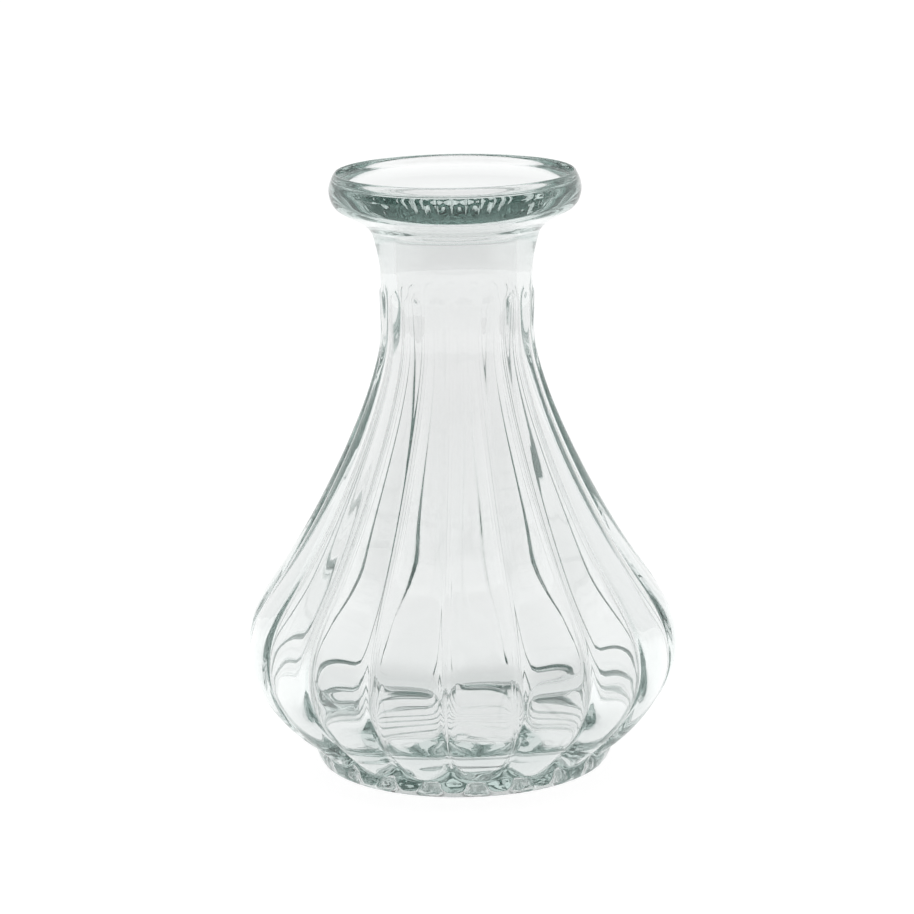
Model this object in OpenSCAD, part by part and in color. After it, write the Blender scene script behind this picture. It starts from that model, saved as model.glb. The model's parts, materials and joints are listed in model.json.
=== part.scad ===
// Glass bud vase: a round foot, a fluted onion bowl, a tapering fluted shoulder, a plain neck
// and a thick flared collar. The real vase is one moulded piece of glass. Each node is one zone
// of it, cut at the levels where the shape changes, and the zones meet face to face.
// Units are millimetres. +Z is up, and the origin is the centre of the plane it stands on.

/* [Foot] */
// Radius of the foot at its widest, just under the flutes
foot_r = 30.6; // [30:0.1:31.2]
// Height of the foot's top above the table
foot_h = 3.8; // [3.4:0.1:4.2]
// Radius of the hollow in the underside
punt_r = 26.5; // [26:0.5:27]
// Depth of the hollow at its centre
punt_depth = 1.3; // [1.2:0.1:1.8]
// Number of rays moulded into the hollow, one under each flute
ray_count = 18; // [12:1:24]

/* [Bowl] */
// Radius at the widest point, over the crests of the flutes
belly_r = 43.8; // [42:0.2:46]
// Height of the widest point
belly_z = 23.5; // [22:0.5:25]
// Number of flutes round the bowl
flute_count = 18; // [12:1:24]
// Depth of the valleys between the flutes at the widest point
flute_depth = 1.6; // [0.8:0.1:1.8]
// Height of the cavity's floor
floor_z = 5.7; // [5.3:0.1:7]
// Glass thickness over the crests, round the belly
belly_wall = 4.0; // [3.6:0.1:4.6]

/* [Neck] */
// Outer radius of the neck at its slimmest
neck_r = 15.05; // [14.8:0.05:15.6]
// Radius of the bore through the neck
bore_r = 11.9; // [11.4:0.1:12.2]
// Height where the flutes end in round arches
arch_top_z = 97; // [96:0.5:98]
// Height of the seam between the neck and the collar
seam_z = 108; // [107.5:0.5:108.5]

/* [Collar] */
// Total height of the vase
height = 120; // [119:0.5:121]
// Outer radius of the collar's bead
bead_r = 25; // [24.6:0.1:26]
// Radius of the lip, the highest line of the mouth
lip_r = 23.6; // [23.2:0.1:23.8]

/* [Hidden] */
$fn = 96;
glass = [0.80, 0.87, 0.85, 0.45];
glass_thick = [0.62, 0.74, 0.71, 0.55];

// Foot: it is a little narrower at the table, with a rounded lower edge
foot_base_r = foot_r - 1.2;
foot_round = 0.8;
foot_top_r = foot_r - 0.3;
// Depth of the hollow where its ceiling meets its wall, and how far the wall leans
punt_edge = 1.2;
punt_lean = 0.7;
// Rays: each is a hollow that widens outward from a plain disc in the middle to a round end.
// These are the middle of each end, as [distance from the axis, height], and its radius.
ray_start = [8, 1];
ray_start_r = 0.5;
ray_end = [punt_r - 3.3, 0.9];
ray_end_r = 2.4;

// Level where the bowl meets the shoulder, low on the long concave taper
shoulder_z = 50;
// Point on the outline where it turns from convex to concave, and its lean from upright there
turn_lean = 35.7;
lean = [-sin(turn_lean), cos(turn_lean)];
turn = [belly_r - 6.2, belly_z + 15];
belly = [belly_r, belly_z];
// The crests' lowest point: they overhang the foot a little
heel = [foot_r + 1.4, foot_h + 0.9];
arch_top = [neck_r, arch_top_z];
// The valleys end this much higher than the crests, so each flute ends in a round petal
petal_rise = 2.3;
// Depth of the valleys where the flutes start, and the height over which an arch opens out
arch_depth = 0.4;
arch_len = 9;

// Cavity: the flat part of its floor, and the glass thickness where the outline turns
floor_r = 19.3;
turn_wall = 3.7;
belly_in = [belly_r - belly_wall, belly_z];
turn_in = turn - turn_wall * [cos(turn_lean), sin(turn_lean)];
bore_low = [bore_r, arch_top_z];
// How far a cutter runs past the face it opens
past = 1;

// Steps of each curve: along the bowl's two, along the taper, and round one flute
bowl_steps = 9;
taper_steps = 15;
flute_steps = 6;
around = flute_count * flute_steps;

// Outer radius of the neck at the seam
seam_r = neck_r + 1.6;

// A point on a cubic curve with the four control points p, at t from 0 to 1.
function cubic(p, t) =
    pow(1 - t, 3) * p[0] + 3 * pow(1 - t, 2) * t * p[1]
    + 3 * (1 - t) * t * t * p[2] + t * t * t * p[3];

// Points along that curve, leaving out the last, so that curves can be joined.
function curve(p, steps) = [for (i = [0 : steps - 1]) cubic(p, i / steps)];

// Outline over the crests, as [radius, height], from the heel to the top of the arches.
crest = concat(
    curve([heel, heel + [9.6, 8], belly - [0, 4], belly], bowl_steps),
    curve([belly, belly + [0, 5.5], turn - 6.9 * lean, turn], bowl_steps),
    curve([turn, turn + 17.9 * lean, arch_top - [0, 17.8], arch_top], taper_steps),
    [arch_top]
);

// Radius of the crests at height z, between the outline's own points.
function crest_r(z) = lookup(z, [for (p = crest) [p[1], p[0]]]);

// The outline's points between two heights, leaving out those too close to either.
function crest_between(low, high) = [for (p = crest) if (p[1] > low + 0.5 && p[1] < high - 0.5) p];

// Depth of the valleys at height z: less at the petals, full at the belly, fading to the arches.
function valley_depth(z) = z < belly_z
    ? flute_depth * (0.75 + 0.25 * (z - heel[1]) / (belly_z - heel[1]))
    : arch_depth + (flute_depth - arch_depth) * (arch_top_z - z) / (arch_top_z - belly_z);

// Place across a flute: 0 on its crest, 1 in the valleys on both sides.
function across(k) = 2 * abs(k / flute_steps - round(k / flute_steps));

// How far a point is down its valley, 0 to 1. Near the top an arch cuts the valley short.
function dip(k, z) = min(pow(across(k), 2), max(0, (arch_top_z - z) / arch_len));

// How far the outline rises in a valley: most at the heel, and nothing from the belly up.
function rise(k, z) =
    petal_rise * pow(across(k), 2) * pow(max(0, 1 - (z - heel[1]) / (belly_z - heel[1])), 3);

// One ring of the fluted surface, made from a point of the crests' outline.
function fluted_ring(p) = [
    for (k = [0 : around - 1])
        let (a = 360 * k / around, r = p[0] - valley_depth(p[1]) * dip(k, p[1]))
            [r * cos(a), r * sin(a), p[1] + rise(k, p[1])]
];

// A plain ring with as many points as a fluted one.
function plain_ring(r, z) = [
    for (k = [0 : around - 1])
        let (a = 360 * k / around)
            [r * cos(a), r * sin(a), z]
];

// Closes a stack of rings into a solid with flat ends.
module skin(rings) {
    last = len(rings) - 1;
    points = [for (ring = rings) each ring];
    sides = [
        for (i = [0 : last - 1], k = [0 : around - 1])
            let (a = i * around + k, b = i * around + (k + 1) % around)
                each [[a, a + around, b], [b, a + around, b + around]]
    ];
    bottom = [for (k = [0 : around - 1]) k];
    top = [for (k = [around - 1 : -1 : 0]) last * around + k];
    polyhedron(points, concat(sides, [bottom, top]));
}

// The hollow inside the bowl and the shoulder, up to the bore.
module cavity() {
    rotate_extrude() polygon(concat(
        [[0, floor_z]],
        curve([[floor_r, floor_z], [floor_r + 10, floor_z + 1.8], belly_in - [0, 8], belly_in], 12),
        curve([belly_in, belly_in + [0, 5.5], turn_in - 6.5 * lean, turn_in], 8),
        curve([turn_in, turn_in + 18 * lean, bore_low - [0, 18], bore_low], 16),
        [bore_low, bore_low + [0, past], [0, arch_top_z + past]]
    ));
}

// Rays: a cone from the middle outward, and a ball for its round end.
module rays() {
    run = ray_end - ray_start;
    for (i = [0 : ray_count - 1])
        rotate([0, 0, 360 * i / ray_count]) {
            translate([ray_start[0], 0, ray_start[1]])
                rotate([0, 90 - atan(run[1] / run[0]), 0])
                    cylinder(r1 = ray_start_r, r2 = ray_end_r, h = norm(run), $fn = 48);
            translate([ray_end[0], 0, ray_end[1]])
                sphere(r = ray_end_r, $fn = 48);
        }
}

// Round foot: it stands on the flat ring outside its hollow.
module foot() {
    lower_edge = [
        for (a = [-90 : 18 : 0])
            [foot_base_r - foot_round, foot_round] + foot_round * [cos(a), sin(a)]
    ];
    color(glass_thick) difference() {
        rotate_extrude() polygon(concat(
            [[0, punt_depth], [punt_r - punt_lean, punt_edge], [punt_r, 0]],
            lower_edge,
            [[foot_r, foot_h - 0.6], [foot_top_r, foot_h], [0, foot_h]]
        ));
        rays();
    }
}

// Fluted bowl: the petals, the heel and the belly, with the thick floor inside.
module bowl() {
    outline = concat([heel], crest_between(heel[1], shoulder_z), [[crest_r(shoulder_z), shoulder_z]]);
    color(glass) difference() {
        skin(concat([plain_ring(foot_top_r, foot_h)], [for (p = outline) fluted_ring(p)]));
        cavity();
    }
}

// Fluted shoulder: the concave taper from the belly to the arches.
module shoulder() {
    outline = concat(
        [[crest_r(shoulder_z), shoulder_z]],
        crest_between(shoulder_z, arch_top_z),
        [arch_top]
    );
    color(glass) difference() {
        skin([for (p = outline) fluted_ring(p)]);
        cavity();
    }
}

// Plain neck, with the bore.
module neck() {
    seam = [seam_r, seam_z];
    outer = curve([arch_top, arch_top + [-0.2, 5], seam - [0.8, 3], seam], 8);
    color(glass) difference() {
        rotate_extrude() polygon(concat([[0, arch_top_z]], outer, [seam, [0, seam_z]]));
        translate([0, 0, arch_top_z - past])
            cylinder(r = bore_r, h = seam_z - arch_top_z + 2 * past);
    }
}

// Flared collar: a broad flange with a round bead. Its raised lip drops steeply to a funnel,
// which leads down to the bore.
module collar() {
    seam = [seam_r, seam_z];
    flange = [bead_r - 1.8, seam_z + 4.6];
    bead = [bead_r, height - 3.4];
    lip = [lip_r, height];
    dish = [lip_r - 1.5, height - 2.7];
    throat = [bore_r + 1.1, height - 8.6];
    bore = [bore_r, seam_z];
    color(glass_thick) rotate_extrude() polygon(concat(
        curve([seam, seam + [0.8, 1.9], flange - [2.8, 1.6], flange], 8),
        curve([flange, flange + [1.3, 0.8], bead - [0, 1.6], bead], 6),
        curve([bead, bead + [0, 1], lip + [0.4, 0], lip], 8),
        [lip, lip - [0.36, 0.25], lip - [0.5, 1.2], lip - [0.7, 2], dish],
        curve([throat, throat - [0.9, 0.6], bore + [0, 2], bore], 6),
        [bore]
    ));
}

foot();
bowl();
shoulder();
neck();
collar();
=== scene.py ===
"""Looks of the glass bud vase: one unbroken piece of moulded glass, on a white light table.

Units are metres, in the frame of the CAD model: +Z is up, and the origin is where the vase stands.
"""

import json
import math

import bmesh
import bpy
from mathutils import Matrix, Vector


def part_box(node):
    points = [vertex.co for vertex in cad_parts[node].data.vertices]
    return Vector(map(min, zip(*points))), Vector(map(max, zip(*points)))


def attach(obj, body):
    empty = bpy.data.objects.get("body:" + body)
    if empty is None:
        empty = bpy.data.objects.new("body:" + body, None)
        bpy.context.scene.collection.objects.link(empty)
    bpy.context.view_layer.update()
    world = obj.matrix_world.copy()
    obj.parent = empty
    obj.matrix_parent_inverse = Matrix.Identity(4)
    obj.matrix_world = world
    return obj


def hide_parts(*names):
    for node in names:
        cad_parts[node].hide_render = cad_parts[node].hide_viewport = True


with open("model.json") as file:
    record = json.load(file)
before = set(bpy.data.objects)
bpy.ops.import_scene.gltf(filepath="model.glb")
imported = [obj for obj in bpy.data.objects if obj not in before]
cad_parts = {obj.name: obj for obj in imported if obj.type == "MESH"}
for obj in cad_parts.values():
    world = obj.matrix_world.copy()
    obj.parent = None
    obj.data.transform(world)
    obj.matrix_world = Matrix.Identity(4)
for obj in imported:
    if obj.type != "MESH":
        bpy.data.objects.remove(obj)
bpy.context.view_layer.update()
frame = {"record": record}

MM = 0.001

# ---------------------------------------------------------------- sizes taken from the frame

FOOT_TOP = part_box("foot")[1].z
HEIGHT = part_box("collar")[1].z
BEAD_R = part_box("collar")[1].x
BELLY_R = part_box("bowl")[1].x
SEAM_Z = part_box("collar")[0].z
ARCH_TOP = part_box("neck")[0].z
FOOT_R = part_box("foot")[1].x
BORE_R = [m for m in frame["record"]["mounts"] if m["name"] == "neck_bore"][0]["dims"]["r_mm"] * MM

# ---------------------------------------------------------------- sizes of the glass

NECK_R = 15.05 * MM
BELLY_Z = 23.5 * MM
LIP_R = BEAD_R - 1.4 * MM
HEEL_R = FOOT_R + 1.4 * MM      # the heel is where the bowl overhangs the foot
HEEL_Z = FOOT_TOP + 0.9 * MM
FLOOR_Z = 5.7 * MM              # the flat part of the cavity's floor
FLOOR_R = 19.3 * MM
BELLY_WALL = 4.0 * MM           # thickness of the glass at the belly
TURN_WALL = 3.7 * MM            # and where the outline turns from convex to concave

# Flutes. Each is a rounded panel between two narrow valleys, with a petal at its foot and an arch
# at its top.
FLUTES = 18
COLUMNS = 10                    # faces across one flute
FLUTE_DEPTH = 1.6 * MM          # depth of the valleys at the belly
HEEL_SHARE = 0.75               # their depth at the heel, as a share of that
ARCH_DEPTH = 0.4 * MM           # their depth at the arches
FADE_POWER = 1.25               # how soon they get shallower above the belly
BAND = 2.4 * MM                 # width of the valley between two flutes
BAND_SIDE = 0.65 * MM           # width of each of its sides
PANEL_DIP = 0.5                 # share of the valleys' depth that a panel falls by at its edge
PETAL_RISE = 2.3 * MM           # height of the valleys' lower ends over the petals' tips
PANEL_LIFT = 0.7                # share of that rise at a panel's edge
SIDE_LIFT = 0.95                # and at the foot of a valley's side
PETAL_POWER = 3                 # how soon the petals' shape is lost above the heel
ARCH_ROUND = 2.6 * MM           # height of the round top of a flute
ARCH_STEP = 0.8 * MM            # a flute stands out from the neck to its full depth over this height
ARCH_FADE = 24 * MM             # lower down it sinks back into the outline over this height
ECHO = 0.08 * MM                # how far the inner wall swells and sinks with the flutes
FLAT_FLOOR = 0.1 * MM           # which starts this far above the cavity's floor

# Underside: a flat-ceilinged hollow with rays, one under each flute, that end in round walls.
PUNT_R = 24.5 * MM
PUNT_DEPTH = 1.3 * MM
PUNT_EDGE = 1.2 * MM            # depth of the underside's hollow at its edge
RAY_START = 3 * MM
RAY_END = 25.6 * MM
RAY_DEPTH = 3.6 * MM            # the round end cuts a little off this
RAY_ROUND = 1.0 * MM            # length of a ray's round end
RAY_WIDTH = 0.62                # width of a ray, as a share of its sector
RAY_SLOPE = 0.06                # share of the depth that grows evenly outward
RAY_POWER = 5                   # the rest of the depth grows with this power of the distance

# ---------------------------------------------------------------- glass and light

# Slow waves in the surface of moulded glass: 45 to the metre, so each is about 22 mm long.
REAM_PER_M = 45.0
REAM_HEIGHT = 0.5 * MM
REAM_STRENGTH = 0.05
TINT_PER_M = 22.0               # strength of the tint for each metre of glass
GLASS_IOR = 1.52                # of soda-lime glass
LIGHT_TURNS = 32                # light crosses many walls, and turns back inside the thick ones

# Brightness of the table and of the room: 1 is plain white.
TABLE_SIZE = 6.0
TABLE_BACK = 0.93
# Painted shade: the table's front is painted darker than its back, standing in for the dim room in
# front.
TABLE_FRONT_PAINTED_SHADE = 0.85
TABLE_FADE = (-0.6, -0.1)       # how far along Y the front turns into the back
TABLE_PAINTED_LIGHT = 1.15               # painted pool of light: a ring of the table round the vase is painted this much brighter, and the disc under the vase stays dimmer as painted shade
PAINTED_RING_RISE = (35 * MM, 55 * MM)  # distances over which the ring starts
PAINTED_RING_FALL = (110 * MM, 280 * MM)
FRONT_LIGHT = 0.14
BACK_LIGHT = 1.0
TOP_LIGHT = 0.8                 # overhead, as a share of the light at the horizon
ROOM_FADE = (-0.75, 0.15)       # Y of the directions, from -1 in front of the vase to 1 behind it
ROOM_RISE = (0.25, 0.9)         # Z of the directions, up to 1 straight overhead

LENS_MM = 135
SENSOR_MM = 36
EYE_DISTANCE = 5.579 * HEIGHT
EYE_HEIGHT = 1.807 * HEIGHT
EYE_TURN = math.radians(5)
EYE_TILT = math.radians(-1)
AIM_Z = 62.1 * MM
AIM_LEFT = 0.52 * MM


def at(r, z):
    """A point of the vase's section, from its radius and height."""
    return Vector((r, 0, z))


def cubic(a, b, c, d, steps):
    """Points along a cubic curve, leaving out the last."""
    points = []
    for i in range(steps):
        t = i / steps
        s = 1 - t
        points.append(a * s**3 + b * (3 * s * s * t) + c * (3 * s * t * t) + d * t**3)
    return points


# ---------------------------------------------------------------- modelling by hand

WELD = 0.02 * MM                # points closer than this are one point


def deselect_all():
    """Back to object mode, with nothing selected."""
    if bpy.context.object and bpy.context.object.mode != "OBJECT":
        bpy.ops.object.mode_set(mode="OBJECT")
    bpy.ops.object.select_all(action="DESELECT")


def start_chain(name, point):
    """A new object in edit mode, holding one vertex at point."""
    deselect_all()
    bpy.ops.mesh.primitive_plane_add(size=MM, location=point)
    chain = bpy.context.object
    chain.name = name
    bpy.ops.object.transform_apply(location=True, rotation=True, scale=True)
    bpy.ops.object.mode_set(mode="EDIT")
    bpy.ops.mesh.select_all(action="SELECT")
    bpy.ops.mesh.merge(type="CENTER")
    return chain


def turned(name, section):
    """The surface made by drawing a section point by point and spinning it round the axis."""
    chain = start_chain(name, section[0])
    for start, end in zip(section, section[1:]):
        bpy.ops.mesh.extrude_vertices_move(TRANSFORM_OT_translate={"value": end - start})
    bpy.ops.mesh.select_all(action="SELECT")
    bpy.ops.mesh.spin(steps=FLUTES * COLUMNS, angle=math.tau, center=(0, 0, 0), axis=(0, 0, 1))
    bpy.ops.mesh.select_all(action="SELECT")
    bpy.ops.mesh.remove_doubles(threshold=WELD)
    bpy.ops.object.mode_set(mode="OBJECT")
    return chain


# ---------------------------------------------------------------- the vase

# Where the outline turns from convex to concave, outside and inside, and how it leans there.
TURN_LEAN = math.radians(35.7)
LEAN = at(-math.sin(TURN_LEAN), math.cos(TURN_LEAN))
TURN = at(BELLY_R - 6.2 * MM, BELLY_Z + 15 * MM)
TURN_IN = TURN - TURN_WALL * at(math.cos(TURN_LEAN), math.sin(TURN_LEAN))


def outer_section():
    """From the middle of the underside, round the foot, up the wall and over the bead to the lip."""
    belly = at(BELLY_R, BELLY_Z)
    heel = at(HEEL_R, HEEL_Z)
    arch = at(NECK_R, ARCH_TOP)
    seam = at(NECK_R + 1.6 * MM, SEAM_Z)
    flange = at(BEAD_R - 1.8 * MM, SEAM_Z + 4.6 * MM)
    bead = at(BEAD_R, HEIGHT - 3.4 * MM)
    lip = at(LIP_R, HEIGHT)
    return [
        # the hollow in the underside
        *[
            at(PUNT_R * s, PUNT_DEPTH + (PUNT_EDGE - PUNT_DEPTH) * s * s)
            for s in (0.02, 0.12, 0.25, 0.4, 0.55, 0.7, 0.84, 0.94, 1)
        ],
        at(RAY_END - 0.8 * MM, PUNT_EDGE),
        at(RAY_END - 0.3 * MM, PUNT_EDGE - 0.03 * MM),
        at(RAY_END, PUNT_EDGE - 0.1 * MM),
        at(RAY_END + 0.6 * MM, 0.5 * MM),
        at(RAY_END + 1.0 * MM, 0),
        # the foot, on the ring that it stands on
        at(FOOT_R - 2.4 * MM, 0),
        at(FOOT_R - 1.6 * MM, 0.12 * MM),
        at(FOOT_R - 1.1 * MM, 0.8 * MM),
        at(FOOT_R - 0.6 * MM, 2.0 * MM),
        at(FOOT_R - 0.1 * MM, 3.2 * MM),
        at(FOOT_R - 0.3 * MM, FOOT_TOP),
        # the fluted wall, with closer rings where the arches are
        *cubic(heel, heel + at(9.6, 8) * MM, belly - at(0, 4) * MM, belly, 11),
        *cubic(belly, belly + at(0, 5.5) * MM, TURN - 6.9 * MM * LEAN, TURN, 7),
        *cubic(TURN, TURN + 17.9 * MM * LEAN, arch - at(0, 17.8) * MM, arch - at(0, 9) * MM, 14),
        *[arch - at(0, drop) * MM for drop in (8, 7, 6, 5, 4, 3.2, 2.4, 1.8, 1.2, 0.7, 0.3)],
        # the neck and the collar
        *cubic(arch, arch + at(-0.2, 5) * MM, seam - at(0.8, 3) * MM, seam, 6),
        *cubic(seam, seam + at(0.8, 1.9) * MM, flange - at(2.8, 1.6) * MM, flange, 6),
        *cubic(flange, flange + at(1.3, 0.8) * MM, bead - at(0, 1.6) * MM, bead, 4),
        *cubic(bead, bead + at(0, 1) * MM, lip + at(0.4, 0) * MM, lip, 5),
        lip,
    ]


def inner_section():
    """From the lip, down the funnel, the neck and the cavity's wall to the middle of its floor."""
    lip = at(LIP_R, HEIGHT)
    lip_steps = ((0, 0), (0.15, 0.03), (0.26, 0.3), (0.3, 0.9), (0.34, 1.5), (0.5, 1.9))
    dish = at(LIP_R - 1.3 * MM, HEIGHT - 2.5 * MM)
    throat = at(BORE_R + 1.1 * MM, HEIGHT - 8.6 * MM)
    seam = at(BORE_R, SEAM_Z)
    bore = at(BORE_R, ARCH_TOP)
    belly = at(BELLY_R - BELLY_WALL, BELLY_Z)
    edge = at(FLOOR_R, FLOOR_Z)
    return [
        *[lip - at(*step) * MM for step in lip_steps],
        *[dish.lerp(throat, share) for share in (0, 0.2, 0.45, 0.7, 0.9)],
        *cubic(throat, throat - at(0.9, 0.6) * MM, at(BORE_R, SEAM_Z + 2 * MM), seam, 4),
        *[seam, at(BORE_R, SEAM_Z - 4 * MM)],
        *cubic(bore, bore - at(0, 18) * MM, TURN_IN + 18 * MM * LEAN, TURN_IN, 10),
        *cubic(TURN_IN, TURN_IN - 6.5 * MM * LEAN, belly + at(0, 5.5) * MM, belly, 5),
        *cubic(belly, belly - at(0, 8) * MM, edge + at(10, 2.8) * MM, edge, 9),
        *[at(FLOOR_R * s, FLOOR_Z) for s in (1, 0.93, 0.8, 0.6, 0.4, 0.2, 0.02)],
    ]


def flute_depth(z):
    """Depth of the valleys at height z: full at the belly, fading to the arches."""
    if z < BELLY_Z:
        return FLUTE_DEPTH * (HEEL_SHARE + (1 - HEEL_SHARE) * (z - HEEL_Z) / (BELLY_Z - HEEL_Z))
    share = (ARCH_TOP - z) / (ARCH_TOP - BELLY_Z)
    return ARCH_DEPTH + (FLUTE_DEPTH - ARCH_DEPTH) * share**FADE_POWER


def press_flutes(vase):
    """Slides the columns of faces to the edges of the flutes, and presses the valleys in."""
    pitch = math.tau / FLUTES
    side = COLUMNS // 2
    for vertex in vase.data.vertices:
        x, y, z = vertex.co
        if not HEEL_Z - WELD / 2 < z < ARCH_TOP + WELD / 2:
            continue
        radius = math.hypot(x, y)
        angle = math.atan2(y, x)
        crest = round(angle / pitch) * pitch
        column = round((angle - crest) / (pitch / COLUMNS))
        top = max(0, min(1, 1 - (ARCH_TOP - z) / ARCH_ROUND))
        edge = (pitch / 2 - BAND / 2 / radius) * max(0.1, math.sqrt(1 - top * top))
        if abs(column) <= side - 2:         # on the panel
            share = abs(column) / (side - 2)
            turned_by = math.copysign(edge * share, column)
            dip = PANEL_DIP * share**2
            lift = PANEL_LIFT * share**2
        elif abs(column) == side - 1:       # at the foot of the valley's side
            turned_by = math.copysign(edge + BAND_SIDE / radius, column)
            dip = 1
            lift = SIDE_LIFT
        else:                               # in the middle of the valley
            turned_by = math.copysign(pitch / 2, angle - crest)
            dip = 1
            lift = 1
        raised = min(1, (ARCH_TOP - z) / ARCH_STEP)
        proud = ARCH_DEPTH * max(0, 1 - (ARCH_TOP - z) / ARCH_FADE)
        petal = max(0, 1 - (z - HEEL_Z) / (BELLY_Z - HEEL_Z)) ** PETAL_POWER
        radius += (proud - flute_depth(z) * dip) * raised
        vertex.co = (
            radius * math.cos(crest + turned_by),
            radius * math.sin(crest + turned_by),
            z + PETAL_RISE * lift * petal,
        )


def press_rays(vase):
    """Presses one round-ended hollow under each flute, deepest at its outer end."""
    pitch = math.tau / FLUTES
    for vertex in vase.data.vertices:
        x, y, z = vertex.co
        radius = math.hypot(x, y)
        if z > PUNT_DEPTH + WELD / 2 or not RAY_START < radius < RAY_END + WELD / 2:
            continue
        angle = math.atan2(y, x)
        off = abs(angle / pitch - round(angle / pitch)) * 2
        hollow = max(0, 1 - (off / RAY_WIDTH) ** 2)
        along = (radius - RAY_START) / (RAY_END - RAY_START)
        swell = RAY_SLOPE * along + (1 - RAY_SLOPE) * along**RAY_POWER
        end = min(1, max(0, RAY_END - radius) / RAY_ROUND) ** 0.5
        vertex.co.z += RAY_DEPTH * hollow * swell * end


def echo_flutes(inside):
    """Lets the inner wall follow the flutes a little, as it does where glass is blown into a mould."""
    for vertex in inside.data.vertices:
        x, y, z = vertex.co
        if not FLOOR_Z + FLAT_FLOOR < z < ARCH_TOP:
            continue
        swell = math.sin(math.pi * (z - FLOOR_Z) / (ARCH_TOP - FLOOR_Z)) ** 2
        radius = math.hypot(x, y)
        grow = 1 + ECHO * swell * math.cos(FLUTES * math.atan2(y, x)) / radius
        vertex.co.x *= grow
        vertex.co.y *= grow


def close_poles(vase):
    """Draws each small open ring on the axis together into one point."""
    between = (PUNT_DEPTH + FLOOR_Z) / 2
    for high in (False, True):
        bpy.ops.object.mode_set(mode="EDIT")
        bpy.ops.mesh.select_all(action="DESELECT")
        mesh = bmesh.from_edit_mesh(vase.data)
        for vertex in mesh.verts:
            if vertex.is_boundary and (vertex.co.z > between) == high:
                vertex.select = True
        mesh.select_flush(True)
        bmesh.update_edit_mesh(vase.data)
        bpy.ops.mesh.merge(type="CENTER")
        bpy.ops.object.mode_set(mode="OBJECT")


def glass_vase():
    """The whole vase, as one closed surface."""
    vase = turned("vase", outer_section())
    press_flutes(vase)
    press_rays(vase)
    inside = turned("inside", inner_section())
    echo_flutes(inside)
    deselect_all()
    inside.select_set(True)
    vase.select_set(True)
    bpy.context.view_layer.objects.active = vase
    bpy.ops.object.join()
    bpy.ops.object.mode_set(mode="EDIT")
    bpy.ops.mesh.select_all(action="SELECT")
    bpy.ops.mesh.remove_doubles(threshold=WELD)
    bpy.ops.mesh.normals_make_consistent(inside=False)
    bpy.ops.object.mode_set(mode="OBJECT")
    smooth = vase.modifiers.new("smooth", "SUBSURF")
    smooth.levels = 1
    smooth.render_levels = 1
    bpy.ops.object.modifier_apply(modifier=smooth.name)
    close_poles(vase)
    bpy.ops.object.shade_smooth()
    return vase


# ---------------------------------------------------------------- materials

def linear(code):
    """An sRGB hex colour as linear RGBA."""
    values = [int(code[i:i + 2], 16) / 255 for i in (1, 3, 5)]
    return tuple(v / 12.92 if v <= 0.04045 else ((v + 0.055) / 1.055) ** 2.4 for v in values) + (1.0,)


def add_node(owner, kind, inputs=None, links=None, **settings):
    """Adds a shader node, with its settings, its input values and the sockets that feed it."""
    node = owner.node_tree.nodes.new(kind)
    for name, value in settings.items():
        setattr(node, name, value)
    for name, value in (inputs or {}).items():
        node.inputs[name].default_value = value
    for name, socket in (links or {}).items():
        owner.node_tree.links.new(socket, node.inputs[name])
    return node


def new_material(name):
    """A material with no nodes yet."""
    material = bpy.data.materials.new(name)
    material.use_nodes = True
    material.node_tree.nodes.clear()
    return material


def soda_lime_glass():
    """Clear soda-lime glass, moulded and fire-polished.

    The eye sees through it: thin walls look almost colourless, and the thick collar and foot show
    a grey-green tint. Slow waves in its surface keep the reflections from looking machined.
    """
    material = new_material("moulded_soda_lime_glass")
    place = add_node(material, "ShaderNodeTexCoord").outputs["Object"]
    ream = add_node(
        material, "ShaderNodeTexNoise", {"Scale": REAM_PER_M, "Detail": 0.0}, {"Vector": place}
    )
    bump = add_node(
        material, "ShaderNodeBump",
        {"Strength": REAM_STRENGTH, "Distance": REAM_HEIGHT},
        {"Height": ream.outputs["Fac"]},
    )
    surface = add_node(
        material, "ShaderNodeBsdfPrincipled",
        {
            "Base Color": linear("#F5F5F5"),
            "Roughness": 0.0,
            "IOR": GLASS_IOR,
            "Transmission Weight": 1.0,
        },
        {"Normal": bump.outputs["Normal"]},
    )
    tint = add_node(
        material, "ShaderNodeVolumeAbsorption",
        {"Color": linear("#B8CFCA"), "Density": TINT_PER_M},
    )
    add_node(
        material, "ShaderNodeOutputMaterial",
        links={"Surface": surface.outputs["BSDF"], "Volume": tint.outputs["Volume"]},
    )
    return material


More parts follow.
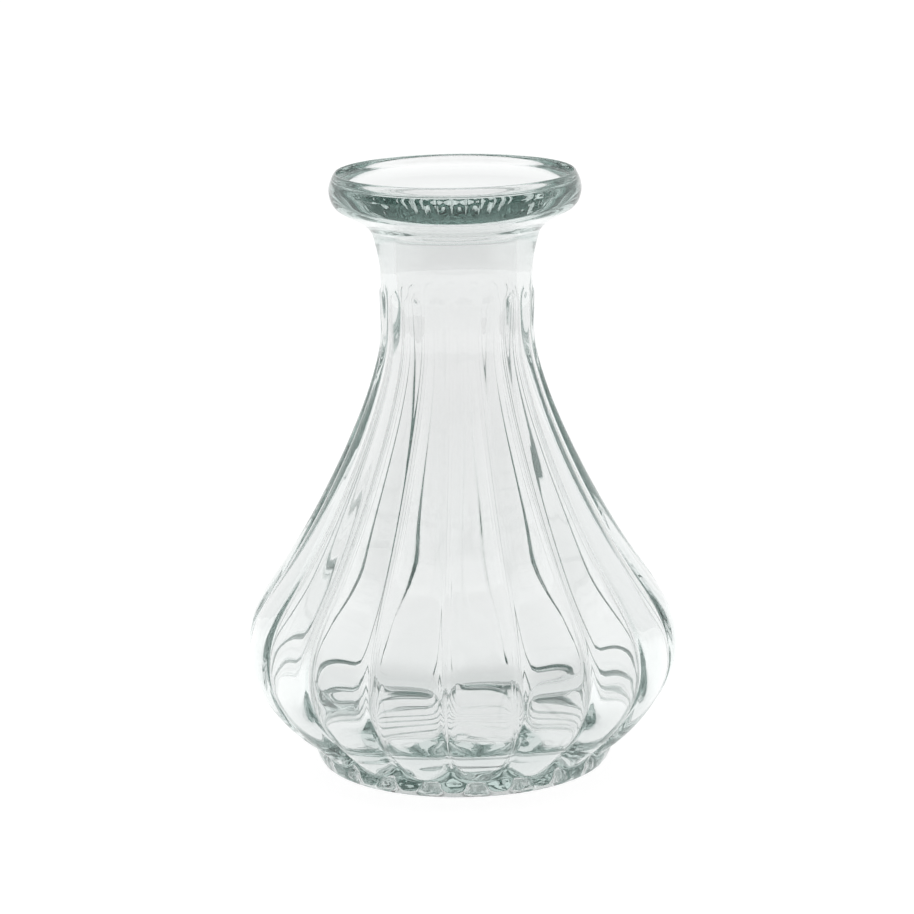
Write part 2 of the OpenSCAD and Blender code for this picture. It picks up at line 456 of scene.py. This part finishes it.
def light_table():
    """White acrylic, lit from below: plain white to the eye, with next to no shadow under glass.

    Its glow is painted a little darker toward the front as painted shade, and a painted pool of light
    makes a ring of it round the vase brighter, leaving the disc under the vase dimmer as painted
    shade.
    """
    material = new_material("light_table_acrylic_with_painted_light")
    place = add_node(material, "ShaderNodeTexCoord").outputs["Object"]
    split = add_node(material, "ShaderNodeSeparateXYZ", links={"Vector": place})
    # Painted shade: the table's glow is painted darker toward the front.
    glow_with_painted_front_shade = add_node(
        material, "ShaderNodeMapRange",
        {
            "From Min": TABLE_FADE[0], "From Max": TABLE_FADE[1],
            "To Min": TABLE_FRONT_PAINTED_SHADE, "To Max": TABLE_BACK,
        },
        {"Value": split.outputs["Y"]},
        interpolation_type="SMOOTHSTEP",
    )
    # Painted pool of light: a ring round the vase is painted brighter, and the disc under the vase is
    # left dimmer as painted shade.
    away = add_node(material, "ShaderNodeVectorMath", links={0: place}, operation="LENGTH")
    inner = add_node(
        material, "ShaderNodeMapRange",
        {
            "From Min": PAINTED_RING_RISE[0], "From Max": PAINTED_RING_RISE[1],
            "To Min": 1.0, "To Max": TABLE_PAINTED_LIGHT,
        },
        {"Value": away.outputs["Value"]},
        interpolation_type="SMOOTHSTEP",
    )
    outer = add_node(
        material, "ShaderNodeMapRange",
        {
            "From Min": PAINTED_RING_FALL[0], "From Max": PAINTED_RING_FALL[1],
            "To Min": 1.0, "To Max": 1 / TABLE_PAINTED_LIGHT,
        },
        {"Value": away.outputs["Value"]},
        interpolation_type="SMOOTHSTEP",
    )
    ring = add_node(
        material, "ShaderNodeMath",
        links={0: inner.outputs["Result"], 1: outer.outputs["Result"]},
        operation="MULTIPLY",
    )
    # The table's glow, with its painted shade and painted pool of light.
    glow_with_painted_light = add_node(
        material, "ShaderNodeMath",
        links={0: glow_with_painted_front_shade.outputs["Result"], 1: ring.outputs["Value"]},
        operation="MULTIPLY",
    )
    surface = add_node(
        material, "ShaderNodeBsdfPrincipled",
        {"Base Color": linear("#707070"), "Roughness": 0.9, "Emission Color": (1, 1, 1, 1)},
        {"Emission Strength": glow_with_painted_light.outputs["Value"]},
    )
    add_node(material, "ShaderNodeOutputMaterial", links={"Surface": surface.outputs["BSDF"]})
    return material


# ---------------------------------------------------------------- studio

def studio():
    """A white light table, soft white light behind it and at its sides, and a dim room in front."""
    deselect_all()
    bpy.ops.mesh.primitive_plane_add(size=TABLE_SIZE, location=(0, 0, 0))
    floor = bpy.context.object
    floor.name = "floor"
    floor.data.materials.append(light_table())

    world = bpy.data.worlds.new("studio")
    bpy.context.scene.world = world
    world.use_nodes = True
    direction = add_node(world, "ShaderNodeTexCoord").outputs["Generated"]
    split = add_node(world, "ShaderNodeSeparateXYZ", links={"Vector": direction})
    back = add_node(
        world, "ShaderNodeMapRange",
        {
            "From Min": ROOM_FADE[0], "From Max": ROOM_FADE[1],
            "To Min": FRONT_LIGHT, "To Max": BACK_LIGHT,
        },
        {"Value": split.outputs["Y"]},
        interpolation_type="SMOOTHSTEP",
    )
    overhead = add_node(
        world, "ShaderNodeMapRange",
        {
            "From Min": ROOM_RISE[0], "From Max": ROOM_RISE[1],
            "To Min": 1.0, "To Max": TOP_LIGHT,
        },
        {"Value": split.outputs["Z"]},
        interpolation_type="SMOOTHSTEP",
    )
    strength = add_node(
        world, "ShaderNodeMath",
        links={0: back.outputs["Result"], 1: overhead.outputs["Result"]},
        operation="MULTIPLY",
    )
    background = world.node_tree.nodes["Background"]
    background.inputs["Color"].default_value = (1, 1, 1, 1)
    world.node_tree.links.new(strength.outputs["Value"], background.inputs["Strength"])


def camera():
    """The camera, a long lens held a little above the vase and looking down on it."""
    data = bpy.data.cameras.new("camera")
    data.lens = LENS_MM
    data.sensor_width = SENSOR_MM
    data.clip_start = 0.01
    data.dof.use_dof = False
    eye = bpy.data.objects.new("camera", data)
    bpy.context.scene.collection.objects.link(eye)
    eye.location = (
        EYE_DISTANCE * math.sin(EYE_TURN), -EYE_DISTANCE * math.cos(EYE_TURN), EYE_HEIGHT
    )
    right = Vector((math.cos(EYE_TURN), math.sin(EYE_TURN), 0))
    aim = at(0, AIM_Z) - right * AIM_LEFT
    look = (aim - eye.location).to_track_quat("-Z", "Y").to_matrix().to_4x4()
    tilt = Matrix.Rotation(EYE_TILT, 4, "Z")
    eye.matrix_world = Matrix.Translation(eye.location) @ look @ tilt
    bpy.context.scene.camera = eye


camera()
studio()
vase = glass_vase()
vase.data.materials.clear()
vase.data.materials.append(soda_lime_glass())
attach(vase, "root")
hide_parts("foot", "bowl", "shoulder", "neck", "collar")

bpy.context.scene.view_settings.view_transform = "Standard"
bpy.context.scene.cycles.max_bounces = LIGHT_TURNS
bpy.context.scene.cycles.transmission_bounces = LIGHT_TURNS
bpy.context.scene.cycles.glossy_bounces = LIGHT_TURNS
